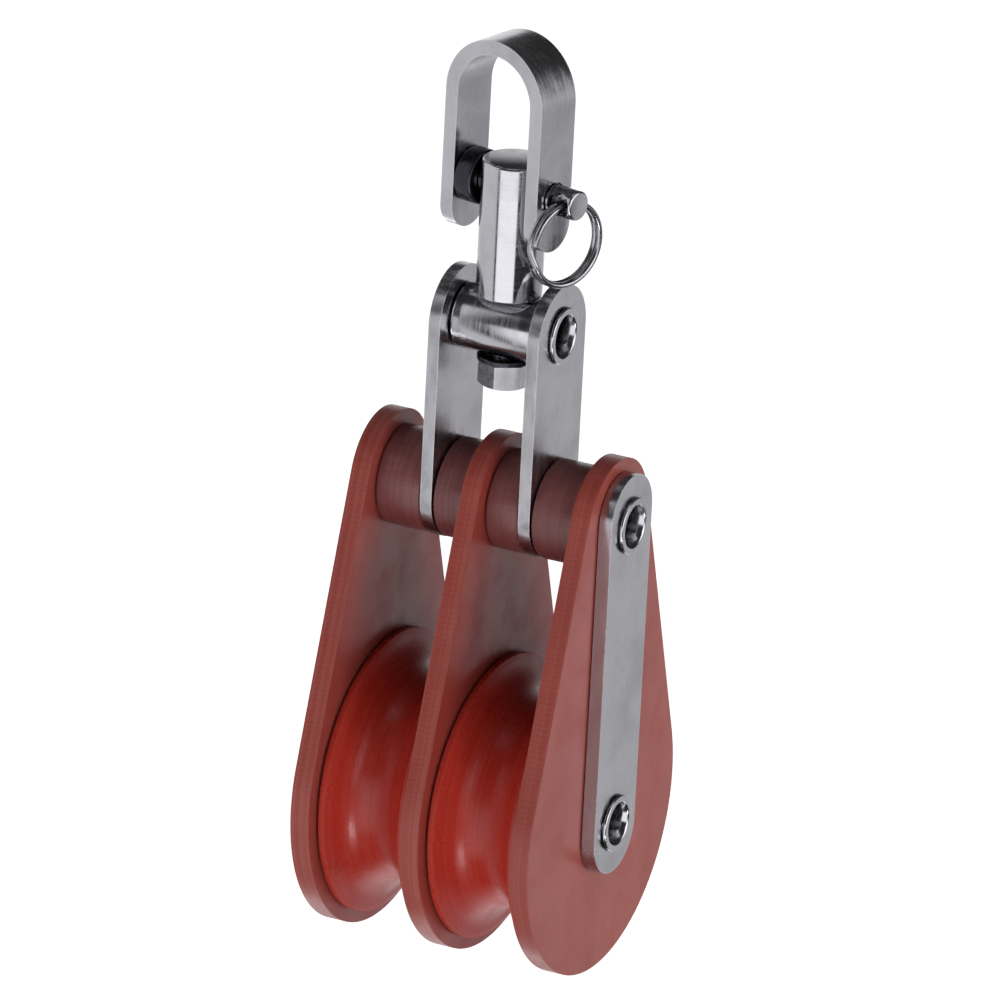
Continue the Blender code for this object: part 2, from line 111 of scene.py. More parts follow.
RING_LAY = 1.04 * RING_WIRE    # from the ring's middle plane to each coil
RING_START = math.radians(205)
RING_CROSSING = math.radians(28)
RING_OPENING = math.radians(6)  # between the wire's end and the crossing
RING_HOLE_WAIST = 1.6 * MM
RING_HOLE_MOUTH = 2.4 * MM
SHACKLE_YAW = math.radians(12)
RING_TWIST = math.radians(10)
MERGE = 0.00001
THROUGH_SWIVEL = 16 * MM       # cutters this long pass right through the post or the barrel
THROUGH_BOW = 40 * MM          # and these through both of the shackle's legs

ACROSS = (math.pi / 2, 0, math.pi / 2)   # local X, Y, Z lie along world Y, Z, X
FRONTAL = (math.pi / 2, 0, 0)            # local X, Y, Z lie along world X, Z, -Y

JOINTS = {joint["name"]: joint for joint in frame["joints"]}
HEAD = Vector(JOINTS["fork_swing"]["pos_m"])
BARREL = Vector(JOINTS["swivel_turn"]["pos_m"])
EYE = Vector(JOINTS["pin_turn"]["pos_m"])
RING_HOLE = Vector(JOINTS["ring_swing"]["pos_m"])
AXLE = Vector((0, 0, JOINTS["left_sheave_spin"]["pos_m"][2]))
BODIES = {n: body for body, nodes in frame["record"]["behaviour"]["bodies"].items() for n in nodes}


# ---- small shader helpers ----

class Shader:
    """A material or world node tree, with short ways to add and join nodes."""

    def __init__(self, tree):
        self.tree = tree

    def node(self, kind, **settings):
        made = self.tree.nodes.new(kind)
        for key, value in settings.items():
            setattr(made, key, value)
        return made

    def link(self, output, socket):
        self.tree.links.new(output, socket)

    def feed(self, socket, value):
        if isinstance(value, bpy.types.NodeSocket):
            self.link(value, socket)
        else:
            socket.default_value = value

    def math(self, operation, a, b=0.0):
        made = self.node("ShaderNodeMath", operation=operation)
        self.feed(made.inputs[0], a)
        self.feed(made.inputs[1], b)
        return made.outputs[0]

    def ramp(self, value, low, high, to_low=0.0, to_high=1.0):
        made = self.node("ShaderNodeMapRange", interpolation_type="SMOOTHSTEP")
        self.feed(made.inputs["Value"], value)
        made.inputs["From Min"].default_value = low
        made.inputs["From Max"].default_value = high
        made.inputs["To Min"].default_value = to_low
        made.inputs["To Max"].default_value = to_high
        return made.outputs["Result"]

    def mix(self, factor, a, b):
        made = self.node("ShaderNodeMix", data_type="RGBA")
        self.feed(made.inputs["Factor"], factor)
        colour_inputs = [s for s in made.inputs if s.type == "RGBA"]
        self.feed(colour_inputs[0], a)
        self.feed(colour_inputs[1], b)
        return [s for s in made.outputs if s.type == "RGBA"][0]

    def noise(self, vector, scale, detail=3.0, rough=0.5):
        made = self.node("ShaderNodeTexNoise")
        self.link(vector, made.inputs["Vector"])
        made.inputs["Scale"].default_value = scale
        made.inputs["Detail"].default_value = detail
        made.inputs["Roughness"].default_value = rough
        return made.outputs["Fac"]

    def scaled(self, vector, scale):
        made = self.node("ShaderNodeVectorMath", operation="MULTIPLY")
        self.link(vector, made.inputs[0])
        made.inputs[1].default_value = scale
        return made.outputs[0]

    def position(self):
        return self.node("ShaderNodeTexCoord").outputs["Object"]

    def edges(self, radius):
        """1 along edges and 0 on open faces, from how far a rounded normal leans from the true one."""
        bevel = self.node("ShaderNodeBevel", samples=4)
        bevel.inputs["Radius"].default_value = radius
        normal = self.node("ShaderNodeNewGeometry").outputs["Normal"]
        dot = self.node("ShaderNodeVectorMath", operation="DOT_PRODUCT")
        self.link(bevel.outputs[0], dot.inputs[0])
        self.link(normal, dot.inputs[1])
        return self.ramp(dot.outputs["Value"], 0.995, 0.93)

    def painted_bore_shade(self, reach):
        """Mask for painted shade: 1 deep inside a piece's own bores and 0 in the open."""
        made = self.node("ShaderNodeAmbientOcclusion", samples=8, only_local=True)
        made.inputs["Distance"].default_value = reach
        return self.ramp(made.outputs["AO"], 0.55, 0.15)

    def bump(self, height, distance, strength=1.0):
        made = self.node("ShaderNodeBump")
        made.inputs["Distance"].default_value = distance
        made.inputs["Strength"].default_value = strength
        self.link(height, made.inputs["Height"])
        return made.outputs["Normal"]


def new_material(name):
    mat = bpy.data.materials.new(name)
    mat.use_nodes = True
    surface = mat.node_tree.nodes["Principled BSDF"]
    return mat, Shader(mat.node_tree), surface


def colour(r, g, b):
    return (r, g, b, 1.0)


# ---- materials ----

def laminate_material(name, resin, cloth, dust, gloss, weave_depth, index, wear, sheen=0.0):
    """Cotton fabric in red resin: plies stacked along X, each a plain weave in Y and Z."""
    ply = 0.42 * MM
    thread = 0.62 * MM
    mat, sh, surface = new_material(name)
    where = sh.position()
    wander = sh.noise(where, 180.0, 2.0)
    axes = sh.node("ShaderNodeSeparateXYZ")
    sh.link(where, axes.inputs[0])
    depth = sh.math("ADD", sh.math("DIVIDE", axes.outputs["X"], ply), sh.math("MULTIPLY", wander, 0.9))
    layer = sh.math("FLOOR", depth)
    within = sh.math("PINGPONG", depth, 0.5)
    seam = sh.ramp(within, 0.0, 0.22, 1.0, 0.0)
    per_ply = sh.node("ShaderNodeTexWhiteNoise", noise_dimensions="1D")
    sh.link(layer, per_ply.inputs["W"])
    shift = sh.math("MULTIPLY", per_ply.outputs["Value"], 6.0)

    def threads(axis):
        turns = sh.math("MULTIPLY", axes.outputs[axis], 2 * math.pi / thread)
        drift = sh.math("MULTIPLY", wander, 5.0)
        return sh.math("SINE", sh.math("ADD", sh.math("ADD", turns, shift), drift))

    weave = sh.math("MULTIPLY", threads("Y"), threads("Z"))
    mottle = sh.noise(where, 55.0, 4.0, 0.6)
    fibres = sh.noise(where, 2600.0, 3.0, 0.7)

    tone = sh.mix(sh.ramp(weave, -1.0, 1.0, 0.15, 0.85), colour(*resin), colour(*cloth))
    tone = sh.mix(sh.math("MULTIPLY", seam, 0.35), tone, colour(*(0.55 * c for c in resin)))
    tone = sh.mix(sh.ramp(per_ply.outputs["Value"], 0.0, 1.0, 0.0, 0.22), tone, colour(*dust))
    tone = sh.mix(sh.ramp(mottle, 0.35, 0.7, 0.0, 0.30), tone, colour(*(0.72 * c for c in resin)))
    worn = sh.math("MULTIPLY", sh.edges(0.5 * MM), sh.ramp(mottle, 0.3, 0.6))
    tone = sh.mix(sh.math("MULTIPLY", worn, wear), tone, colour(*dust))
    sh.link(tone, surface.inputs["Base Color"])

    smudge = sh.noise(where, 120.0, 5.0, 0.65)
    base = sh.ramp(smudge, 0.35, 0.7, gloss - 0.06, gloss + 0.10)
    rough = sh.math("ADD", base, sh.math("MULTIPLY", worn, 0.15))
    sh.link(rough, surface.inputs["Roughness"])
    surface.inputs["IOR"].default_value = index
    surface.inputs["Sheen Weight"].default_value = sheen
    surface.inputs["Sheen Roughness"].default_value = 0.4
    surface.inputs["Sheen Tint"].default_value = (0.85, 0.88, 1.0, 1.0)

    relief = sh.math("ADD", sh.math("MULTIPLY", weave, weave_depth), sh.math("MULTIPLY", fibres, 0.35))
    relief = sh.math("SUBTRACT", relief, sh.math("MULTIPLY", seam, 0.30))
    sh.link(sh.bump(relief, 0.012 * MM, 0.9), surface.inputs["Normal"])
    return mat


def steel_material(name, tint, grain, rough, scratches=0.5, wear=0.5):
    """Polished stainless steel. Grain holds noise scales along X, Y and Z: a low one runs along the marks."""
    mat, sh, surface = new_material(name)
    where = sh.position()
    marks = sh.noise(sh.scaled(where, grain), 1.0, 4.0, 0.65)
    smudge = sh.noise(where, 95.0, 5.0, 0.6)
    spots = sh.noise(where, 900.0, 2.0, 0.5)
    edge = sh.edges(0.35 * MM)

    tone = sh.mix(sh.ramp(smudge, 0.35, 0.70), colour(*tint), colour(*(0.84 * c for c in tint)))
    tone = sh.mix(sh.ramp(marks, 0.42, 0.66, 0.0, 0.22), tone, colour(*(1.18 * c for c in tint)))
    tone = sh.mix(sh.ramp(spots, 0.66, 0.76, 0.0, 0.25), tone, colour(*(0.55 * c for c in tint)))
    tone = sh.mix(sh.math("MULTIPLY", edge, wear), tone, colour(0.80, 0.80, 0.82))
    # Painted shade: deep inside a piece's own bores the colour goes near-black.
    tone = sh.mix(sh.painted_bore_shade(12 * MM), tone, colour(0.012, 0.011, 0.012))
    sh.link(tone, surface.inputs["Base Color"])
    surface.inputs["Metallic"].default_value = 1.0

    base = sh.ramp(smudge, 0.32, 0.72, rough - 0.05, rough + 0.10)
    streak = sh.ramp(marks, 0.35, 0.75, -0.04, 0.07)
    finish = sh.math("ADD", sh.math("ADD", base, streak), sh.math("MULTIPLY", edge, 0.05))
    sh.link(finish, surface.inputs["Roughness"])

    relief = sh.math("ADD", sh.math("MULTIPLY", marks, scratches), sh.math("MULTIPLY", spots, 0.25))
    sh.link(sh.bump(relief, 0.006 * MM, 0.6), surface.inputs["Normal"])
    return mat


def bronze_material(name):
    mat, sh, surface = new_material(name)
    where = sh.position()
    cast = sh.noise(where, 420.0, 4.0, 0.6)
    tone = sh.mix(sh.ramp(cast, 0.35, 0.7), colour(0.56, 0.36, 0.17), colour(0.34, 0.21, 0.10))
    sh.link(tone, surface.inputs["Base Color"])
    surface.inputs["Metallic"].default_value = 1.0
    sh.link(sh.ramp(cast, 0.3, 0.7, 0.28, 0.48), surface.inputs["Roughness"])
    sh.link(sh.bump(cast, 0.008 * MM, 0.5), surface.inputs["Normal"])
    return mat


STEEL = (0.50, 0.495, 0.52)
# Near-black colour for the pin's collar and the swivel washer; what makes them dark on the real block is not
# known.
NEAR_BLACK = (0.045, 0.045, 0.055)


def make_materials():
    return {
        "cheek": laminate_material(
            "cheek_laminate", (0.27, 0.026, 0.016), (0.35, 0.046, 0.028), (0.42, 0.15, 0.12), 0.36, 0.55,
            index=1.52, wear=0.25, sheen=0.12,
        ),
        "turned": laminate_material(
            "turned_laminate", (0.42, 0.020, 0.012), (0.50, 0.035, 0.020), (0.52, 0.10, 0.07), 0.30, 0.35,
            index=1.38, wear=0.20,
        ),
        # Painted reflection: the spacers' red laminate is greyed towards mauve to stand for pale light
        # reflected from above.
        "spacer": laminate_material(
            "spacer_laminate", (0.15, 0.036, 0.036), (0.20, 0.056, 0.054), (0.30, 0.12, 0.11), 0.34, 0.35,
            index=1.52, wear=0.20,
        ),
        "plate": steel_material("polished_plate", STEEL, (300.0, 1500.0, 90.0), 0.24),
        "round_x": steel_material("turned_along_x", STEEL, (2600.0, 120.0, 120.0), 0.17, 0.35),
        "round_z": steel_material("turned_along_z", STEEL, (120.0, 120.0, 2600.0), 0.15, 0.30),
        "bolt": steel_material("bolt_steel", (0.55, 0.55, 0.56), (700.0, 700.0, 700.0), 0.26, 0.6, 0.7),
        "wire": steel_material("spring_wire", (0.33, 0.33, 0.35), (500.0, 500.0, 500.0), 0.22),
        "dark": steel_material("blackened_steel", NEAR_BLACK, (2200.0, 150.0, 150.0), 0.24, 0.35, 0.10),
        "bronze": bronze_material("bearing_bronze"),
    }


# ---- mesh helpers ----

def arc(centre, radius, start, end, steps):
    turns = [start + (end - start) * i / steps for i in range(steps + 1)]
    return [(centre[0] + radius * math.cos(a), centre[1] + radius * math.sin(a)) for a in turns]


def circle(centre, radius, steps=64):
    return arc(centre, radius, 0, 2 * math.pi, steps)[:-1]


def stadium(radius, low, high, steps=40):
    top = arc((0, high), radius, 0, math.pi, steps)
    return top + arc((0, low), radius, math.pi, 2 * math.pi, steps)


def teardrop(top_radius, bottom_radius, top, bottom):
    lean = math.asin((bottom_radius - top_radius) / (top - bottom))
    outline = arc((0, top), top_radius, lean, math.pi - lean, 44)
    return outline + arc((0, bottom), bottom_radius, math.pi - lean, 2 * math.pi + lean, 120)


def softened(profile, sizes, steps=4):
    """The profile with some corners rounded: sizes maps a point's index to how far back its curve starts."""
    points = []
    for i, corner in enumerate(profile):
        size = sizes.get(i)
        if not size:
            points.append(corner)
            continue
        here = Vector(corner)
        before = Vector(profile[i - 1])
        after = Vector(profile[(i + 1) % len(profile)])
        start = here + (before - here).normalized() * size
        end = here + (after - here).normalized() * size
        for step in range(steps + 1):
            t = step / steps
            point = start * (1 - t) ** 2 + here * 2 * t * (1 - t) + end * t * t
            points.append((point.x, point.y))
    return points


def evaluated_mesh(obj):
    bpy.context.view_layer.update()
    dg = bpy.context.evaluated_depsgraph_get()
    return bpy.data.meshes.new_from_object(obj.evaluated_get(dg))


def link(obj):
    bpy.context.scene.collection.objects.link(obj)
    return obj


def flat_plate(name, outlines, thickness, place, rotation):
    """A plate cut from sheet: the first outline is its edge and the others are its holes."""
    curve = bpy.data.curves.new(name, "CURVE")
    curve.dimensions = "2D"
    curve.fill_mode = "BOTH"
    curve.extrude = thickness / 2
    for points in outlines:
        spline = curve.splines.new("POLY")
        spline.points.add(len(points) - 1)
        for point, (x, y) in zip(spline.points, points):
            point.co = (x, y, 0, 1)
        spline.use_cyclic_u = True
    flat = link(bpy.data.objects.new(name + "_outline", curve))
    mesh = evaluated_mesh(flat)
    bpy.data.objects.remove(flat)
    work = bmesh.new()
    work.from_mesh(mesh)
    bmesh.ops.remove_doubles(work, verts=work.verts, dist=MERGE)
    work.to_mesh(mesh)
    work.free()
    plate = link(bpy.data.objects.new(name, mesh))
    plate.location = place
    plate.rotation_euler = rotation
    return plate


def rounded_edges(obj, width, segments=3):
    """Rounds the sharp edges and keeps the flat faces flat in the shading."""
    obj.data.shade_smooth()
    bevel = obj.modifiers.new("edges", "BEVEL")
    bevel.width = width
    bevel.segments = segments
    bevel.limit_method = "ANGLE"
    bevel.angle_limit = math.radians(50)
    bevel.use_clamp_overlap = True
    flats = obj.modifiers.new("flats", "WEIGHTED_NORMAL")
    flats.weight = 100
    flats.keep_sharp = True
    return obj


def turned(name, profile, place, rotation, steps=96, closed=True):
    """A lathe-turned piece about its local Z. The profile is (radius, height), down the outer side."""
    mesh = bpy.data.meshes.new(name)
    count = len(profile)
    edges = [(i, i + 1) for i in range(count - 1)]
    if closed:
        edges.append((count - 1, 0))
    mesh.from_pydata([(radius, 0, height) for radius, height in profile], edges, [])
    rough = link(bpy.data.objects.new(name + "_profile", mesh))
    screw = rough.modifiers.new("turning", "SCREW")
    screw.axis = "Z"
    screw.steps = steps
    screw.render_steps = steps
    screw.use_merge_vertices = True
    screw.merge_threshold = MERGE
    piece = link(bpy.data.objects.new(name, evaluated_mesh(rough)))
    bpy.data.objects.remove(rough)
    piece.location = place
    piece.rotation_euler = rotation
    shade_by_angle(piece, 32)
    return piece


def shade_by_angle(obj, degrees):
    obj.data.shade_smooth()
    obj.data.set_sharp_from_angle(angle=math.radians(degrees))


def cut(obj, tools, operation="DIFFERENCE"):
    """Applies each tool to obj as a Boolean, then removes the tools."""
    for tool in tools:
        boolean = obj.modifiers.new(tool.name, "BOOLEAN")
        boolean.object = tool
        boolean.operation = operation
        boolean.solver = "EXACT"
    mesh = evaluated_mesh(obj)
    obj.modifiers.clear()
    obj.data = mesh
    for tool in tools:
        bpy.data.objects.remove(tool)
    return obj


def rod(name, radius, length, place, rotation, steps=64):
    profile = [(0, length / 2), (radius, length / 2), (radius, -length / 2), (0, -length / 2)]
    return turned(name, profile, place, rotation, steps, closed=False)


def in_eye_axes(obj):
    """Moves a piece made about the origin to the shackle pin, turned as the shackle rests."""
    turn = Matrix.Translation(EYE) @ Matrix.Rotation(-SHACKLE_YAW, 4, "Z")
    bpy.context.view_layer.update()
    obj.matrix_world = turn @ obj.matrix_world
    bpy.context.view_layer.update()
    return obj


def settle(obj):
    """Writes the object's place into its mesh, so textures read the block's own coordinates."""
    bpy.context.view_layer.update()
    obj.data.transform(obj.matrix_world)
    obj.matrix_world = Matrix.Identity(4)
    return obj


def stand_for(obj, node, material):
    """The finished piece stands for its CAD node: it takes the node's body and the given material, and the
    node is hidden.
    """
    settle(obj)
    obj.data.materials.clear()
    obj.data.materials.append(material)
    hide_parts(node)
    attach(obj, BODIES[node])
    return obj


def span(node, axis="x"):
    low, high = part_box(node)
    return getattr(low, axis), getattr(high, axis)


def middle(node):
    low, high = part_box(node)
    return (low + high) / 2


# ---- the block: cheeks, strap, spacers, hollow pins ----

def pin_holes():
    return [circle((0, HEAD.z), HOLE_RADIUS), circle((0, AXLE.z), HOLE_RADIUS)]


def make_cheek(node, mats):
    low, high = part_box(node)
    radius = AXLE.z - low.z
    outline = teardrop(CHEEK_TOP_RADIUS, radius, HEAD.z, AXLE.z)
    x = (low.x + high.x) / 2
    plate = flat_plate(node + "_fine", [outline, *pin_holes()], high.x - low.x, (x, 0, 0), ACROSS)
    rounded_edges(plate, 0.7 * MM, 4)
    stand_for(plate, node, mats["cheek"])


def make_strap(node, mats):
    low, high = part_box(node)
    radius = (high.y - low.y) / 2
    outline = stadium(radius, low.z + radius, high.z - radius)
    x = (low.x + high.x) / 2
    plate = flat_plate(node + "_fine", [outline, *pin_holes()], high.x - low.x, (x, 0, 0), ACROSS)
    rounded_edges(plate, 0.35 * MM)
    stand_for(plate, node, mats["plate"])


def lip_half(tip):
    """One flared end, from the bore out over the rolled lip to the shank."""
    under = tip - LIP_THICKNESS
    corners = [
        (TUBE_BORE, tip - FLARE), (TUBE_BORE + 0.5 * FLARE, tip),
        (LIP_RADIUS, tip), (LIP_RADIUS, under), (TUBE_RADIUS, under),
    ]
    return softened(corners, {1: 0.30 * MM, 2: 0.30 * MM, 3: 0.10 * MM}, 6)


def mirrored(profile):
    return [(radius, -height) for radius, height in reversed(profile)]


def make_hollow_pin(node, mats):
    left, right = span(node)
    profile = lip_half(right) + mirrored(lip_half(-left))
    pin = turned(node + "_fine", profile, (0, 0, middle(node).z), ACROSS)
    stand_for(pin, node, mats["round_x"])


def make_head_spacer(node, mats):
    low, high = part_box(node)
    half = (high.x - low.x) / 2
    outer = (high.z - low.z) / 2
    corners = [(HOLE_RADIUS, half), (outer, half), (outer, -half), (HOLE_RADIUS, -half)]
    profile = softened(corners, {1: 0.4 * MM, 2: 0.4 * MM})
    spacer = turned(node + "_fine", profile, ((low.x + high.x) / 2, 0, HEAD.z), ACROSS)
    stand_for(spacer, node, mats["spacer"])


# ---- sheaves ----

def sheave_corners(half, rim):
    """Half of a sheave's section, from its bore over the flat side and the rim to the groove's edge."""
    return [(BUSH_HOLE, half), (rim, half), (rim, GROOVE_RADIUS + GROOVE_LAND)]


def make_sheave(node, mats):
    low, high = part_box(node)
    half = (high.x - low.x) / 2
    rim = (high.y - low.y) / 2
    upper = softened(sheave_corners(half, rim), {1: 0.5 * MM})
    groove = arc((rim, 0), GROOVE_RADIUS, math.pi / 2 + 0.12, 1.5 * math.pi - 0.12, 36)
    profile = upper + groove + mirrored(upper)
    sheave = turned(node + "_fine", profile, ((low.x + high.x) / 2, 0, AXLE.z), ACROSS, 160)
    stand_for(sheave, node, mats["turned"])


def make_bush(node, mats):
    low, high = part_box(node)
    half = (high.x - low.x) / 2
    outer = (high.z - low.z) / 2
    corners = [(HOLE_RADIUS, half), (outer, half), (outer, -half), (HOLE_RADIUS, -half)]
    profile = softened(corners, {0: 0.2 * MM, 1: 0.2 * MM, 2: 0.2 * MM, 3: 0.2 * MM})
    bush = turned(node + "_fine", profile, ((low.x + high.x) / 2, 0, AXLE.z), ACROSS, 72)
    stand_for(bush, node, mats["bronze"])


# ---- fork ----

def make_fork_leg(node, mats):
    low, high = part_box(node)
    radius = (high.y - low.y) / 2
    outline = stadium(radius, HEAD.z, BARREL.z)
    holes = [circle((0, HEAD.z), HOLE_RADIUS), circle((0, BARREL.z), HOLE_RADIUS)]
    x = (low.x + high.x) / 2
    leg = flat_plate(node + "_fine", [outline, *holes], high.x - low.x, (x, 0, 0), ACROSS)
    rounded_edges(leg, 0.45 * MM)
    stand_for(leg, node, mats["plate"])


def make_barrel(node, mats):
    """Round bar with turned-down, drilled and flared ends, and flats for the post and the washer."""
    shoulder = span("fork_leg_right")[0] - BARREL_GAP
    tip = span(node)[1]
    floor = [(0, tip - DRILL_DEPTH), (TUBE_BORE, tip - DRILL_DEPTH + DRILL_POINT)]
    shank = softened([(TUBE_RADIUS, shoulder), (BARREL_RADIUS, shoulder), (BARREL_RADIUS, 0)], {1: 0.4 * MM})
    half = floor + lip_half(tip) + shank[:-1]
    barrel = turned(node + "_fine", half + mirrored(half), BARREL, ACROSS, closed=False)
    deep = 4 * MM
    up = Vector((0, 0, BARREL_RADIUS - SEAT_DEPTH + deep / 2))
    tools = [
        rod("post_seat", POST_SEAT_RADIUS, deep, BARREL + up, (0, 0, 0)),
        rod("washer_seat", WASHER_SEAT_RADIUS, deep, BARREL - up, (0, 0, 0)),
        rod("bolt_bore", BOLT_HOLE, THROUGH_SWIVEL, BARREL, (0, 0, 0)),
    ]
    cut(barrel, tools)
    shade_by_angle(barrel, 30)
    stand_for(barrel, node, mats["round_x"])


# ---- swivel ----

def make_post(node, mats):
    low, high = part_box(node)
    radius = (high.x - low.x) / 2
    corners = [
        (0, high.z), (radius, high.z), (radius, low.z),
        (BOLT_HOLE, low.z), (BOLT_HOLE, low.z + SOCKET_DEPTH), (0, low.z + SOCKET_DEPTH + BOLT_HOLE),
    ]
    profile = softened(corners, {1: 0.6 * MM, 2: 0.35 * MM, 3: 0.2 * MM}, 5)
    post = turned(node + "_fine", profile, (0, 0, 0), (0, 0, 0), closed=False)
    across = (math.pi / 2, 0, math.pi / 2 - SHACKLE_YAW)
    cut(post, [rod("post_eye", PIN_HOLE, THROUGH_SWIVEL, EYE, across)])
    shade_by_angle(post, 30)
    stand_for(post, node, mats["round_z"])


def make_swivel_bolt(node, mats):
    """Hexagon head with chamfered corners under a plain shank."""
    low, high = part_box(node)
    corner = BOLT_HEAD_FLATS / math.sqrt(3)
    head_top = low.z + BOLT_HEAD_HEIGHT
    shank = softened([(0, high.z), (BOLT_RADIUS, high.z), (BOLT_RADIUS, head_top)], {1: 0.4 * MM})
    shape = shank + [
        (corner + BOLT_HEAD_TRIM, head_top), (corner + BOLT_HEAD_TRIM, low.z + 0.5 * MM),
        (BOLT_HEAD_FLATS / 2 - BOLT_HEAD_TRIM, low.z), (0, low.z),
    ]
    bolt = turned(node + "_fine", shape, (0, 0, 0), (0, 0, 0), closed=False)
    work = bmesh.new()
    bmesh.ops.create_cone(work, cap_ends=True, segments=6, radius1=corner, radius2=corner, depth=80 * MM)
    turn = Matrix.Rotation(BOLT_HEAD_TURN - SHACKLE_YAW, 4, "Z")
    work.transform(Matrix.Translation((0, 0, low.z)) @ turn)
    mesh = bpy.data.meshes.new("hexagon")
    work.to_mesh(mesh)
    work.free()
    cut(bolt, [link(bpy.data.objects.new("hexagon", mesh))], "INTERSECT")
    shade_by_angle(bolt, 25)
    stand_for(bolt, node, mats["bolt"])


def make_swivel_washer(node, mats):
    low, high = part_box(node)
    outer = (high.x - low.x) / 2
    corners = [(BOLT_HOLE, high.z), (outer, high.z), (outer, low.z), (BOLT_HOLE, low.z)]
    profile = softened(corners, {1: 0.15 * MM, 2: 0.15 * MM})
    washer = turned(node + "_fine", profile, (0, 0, 0), (0, 0, 0))
    stand_for(washer, node, mats["dark"])


# ---- shackle ----

def bow_outline():
    """The bent strip seen from the front: outer side up, over and down, then the inner side back."""
    inner = BOW_INSIDE / 2
    outer = inner + BOW_THICKNESS
    bend = span("shackle_bow", "z")[1] - outer - EYE.z
    foot = -BOW_TAIL - BOW_WIDTH / 2 - 2 * MM
    over = [(outer, foot)] + arc((0, bend), outer, 0, math.pi, 72) + [(-outer, foot)]
    back = [(-inner, foot)] + arc((0, bend), inner, math.pi, 0, 72) + [(inner, foot)]
    return over + back


def make_bow(node, mats):
    bow = flat_plate(node + "_fine", [bow_outline()], BOW_WIDTH, (BOW_CENTRE, 0, 0), FRONTAL)
    ends = stadium(BOW_WIDTH / 2 + 0.002 * MM, -BOW_TAIL, THROUGH_BOW)
    keep = flat_plate("leg_ends", [ends], THROUGH_BOW, (0, 0, 0), ACROSS)
    cut(bow, [keep], "INTERSECT")
    cut(bow, [rod("bow_eyes", PIN_HOLE, THROUGH_BOW, (0, 0, 0), ACROSS)])
    rounded_edges(bow, 0.5 * MM)
    stand_for(in_eye_axes(bow), node, mats["plate"])


def make_shackle_pin(node, mats):
    """Clevis pin with a low domed head and a flared cross hole for the split ring."""
    dome = arc((0, 0), 1, 0, math.pi / 2, 12)
    head = [(PIN_HEAD_RADIUS * x, PIN_HEAD_FACE - PIN_HEAD_RIM - PIN_HEAD_DOME * y) for x, y in dome]
    head[-1] = (0, head[-1][1])
    corners = [(0, PIN_TIP), (PIN_RADIUS, PIN_TIP), (PIN_RADIUS, PIN_HEAD_FACE)]
    profile = softened(corners, {1: 0.45 * MM}) + [(PIN_HEAD_RADIUS, PIN_HEAD_FACE)] + head
    pin = turned(node + "_fine", profile, (0, 0, 0), ACROSS, closed=False)
    reach = PIN_RADIUS + 0.4 * MM
    flare = [
        (0, reach), (RING_HOLE_MOUTH, reach), (RING_HOLE_WAIST, 0), (RING_HOLE_MOUTH, -reach), (0, -reach),
    ]
    hole_x = (RING_HOLE - EYE).length
    cut(pin, [turned("ring_hole", flare, (hole_x, 0, 0), FRONTAL, 48, closed=False)])
    shade_by_angle(pin, 32)
    stand_for(in_eye_axes(pin), node, mats["round_x"])


def make_pin_collar(node, mats):
    low, high = COLLAR_SPAN
    half = (high - low) / 2
    outer = span(node, "z")[1] - EYE.z
    corners = [(PIN_HOLE, half), (outer, half), (outer, -half), (PIN_HOLE, -half)]
    profile = softened(corners, {1: 0.35 * MM, 2: 0.35 * MM})
    collar = turned(node + "_fine", profile, ((low + high) / 2, 0, 0), ACROSS)
    stand_for(in_eye_axes(collar), node, mats["dark"])


def ring_centre_line(count):
    """Two turns of wire side by side, crossing over in a short stretch where the coils end."""
    length = 4 * math.pi - RING_CROSSING - RING_OPENING
    points = []
    for i in range(count + 1):
        run = length * i / count
        share = min(1, max(0, (run - (2 * math.pi - RING_CROSSING)) / RING_CROSSING))
        ease = share * share * (3 - 2 * share)
        angle = RING_START + run
        aside = RING_LAY * (2 * ease - 1)
        points.append((aside, RING_RADIUS * math.cos(angle), RING_RADIUS * math.sin(angle)))
    return points


def make_split_ring(node, mats):
    curve = bpy.data.curves.new(node, "CURVE")
    curve.dimensions = "3D"
    curve.bevel_depth = RING_WIRE
    curve.bevel_resolution = 6
    curve.use_fill_caps = True
    points = ring_centre_line(150)
    spline = curve.splines.new("POLY")
    spline.points.add(len(points) - 1)
    for point, (x, y, z) in zip(spline.points, points):
        point.co = (x, y, z - RING_RADIUS - RING_DROP, 1)
    wire = link(bpy.data.objects.new(node + "_wire", curve))
    mesh = evaluated_mesh(wire)
    bpy.data.objects.remove(wire)
    ring = link(bpy.data.objects.new(node + "_fine", mesh))
    ring.location = RING_HOLE
    ring.rotation_euler = (0, 0, -SHACKLE_YAW - RING_TWIST)
    shade_by_angle(ring, 40)
    stand_for(ring, node, mats["wire"])


def make_object(mats):
    for node in ("cheek_left", "cheek_middle", "cheek_right"):
        make_cheek(node, mats)
    for node in ("head_pin", "sheave_axle"):
        make_hollow_pin(node, mats)
    make_strap("strap_right", mats)
    for hand in ("left", "right"):
        make_head_spacer("head_spacer_inner_" + hand, mats)
        make_head_spacer("head_spacer_outer_" + hand, mats)
        make_sheave("sheave_" + hand, mats)
        make_bush("sheave_bush_" + hand, mats)
        make_fork_leg("fork_leg_" + hand, mats)
    make_barrel("swivel_barrel", mats)
    make_post("swivel_post", mats)
    make_swivel_bolt("swivel_bolt", mats)
    make_swivel_washer("swivel_washer", mats)
    make_bow("shackle_bow", mats)
    make_shackle_pin("shackle_pin", mats)
    make_pin_collar("pin_collar", mats)
    make_split_ring("split_ring", mats)


# ---- studio ----

def direction(azimuth, elevation):
    """Azimuth 0 is the front, -Y, and 90 is the right, +X."""
    a, e = math.radians(azimuth), math.radians(elevation)
    return Vector((math.sin(a) * math.cos(e), -math.cos(a) * math.cos(e), math.sin(e)))


